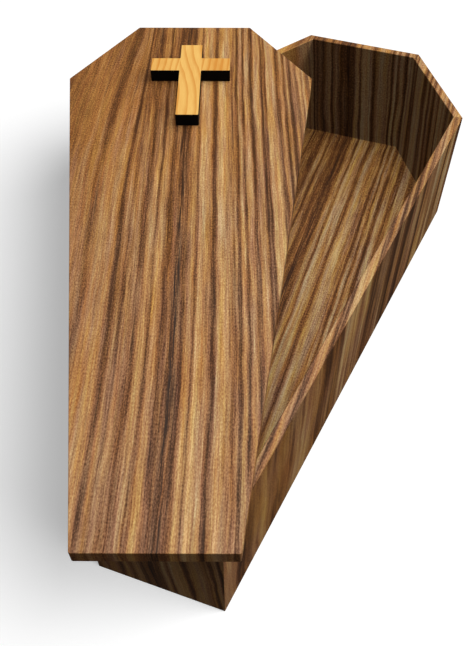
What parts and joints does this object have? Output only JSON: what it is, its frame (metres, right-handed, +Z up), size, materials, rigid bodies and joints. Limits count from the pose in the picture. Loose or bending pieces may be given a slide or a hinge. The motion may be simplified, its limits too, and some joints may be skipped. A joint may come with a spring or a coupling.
{
  "type": "wooden coffin",
  "caption": "Six-sided coffin of striped hardwood boards, open box with a flat lid lying askew on the rim and a pale pine cross fixed to the lid near the head.",
  "frame": {"origin": "middle of the underside of the box, half way along its length", "axes": "+Y along the box from the foot end to the head end, +X to the right seen from the foot, +Z up"},
  "size_m": [1.2057, 1.9722, 0.4606],
  "materials": {
    "striped_hardwood": "brown hardwood with dark straight stripes, smooth satin oil finish",
    "pale_pine": "pale yellow pine, satin varnish, with blackened edges"
  },
  "bodies": {
    "root": {"bottom_board": "striped_hardwood", "foot_board": "striped_hardwood", "right_side_board": "striped_hardwood", "right_shoulder_board": "striped_hardwood", "head_board": "striped_hardwood", "left_shoulder_board": "striped_hardwood", "left_side_board": "striped_hardwood", "lid": "striped_hardwood", "cross": "pale_pine"}
  },
  "joints": []
}
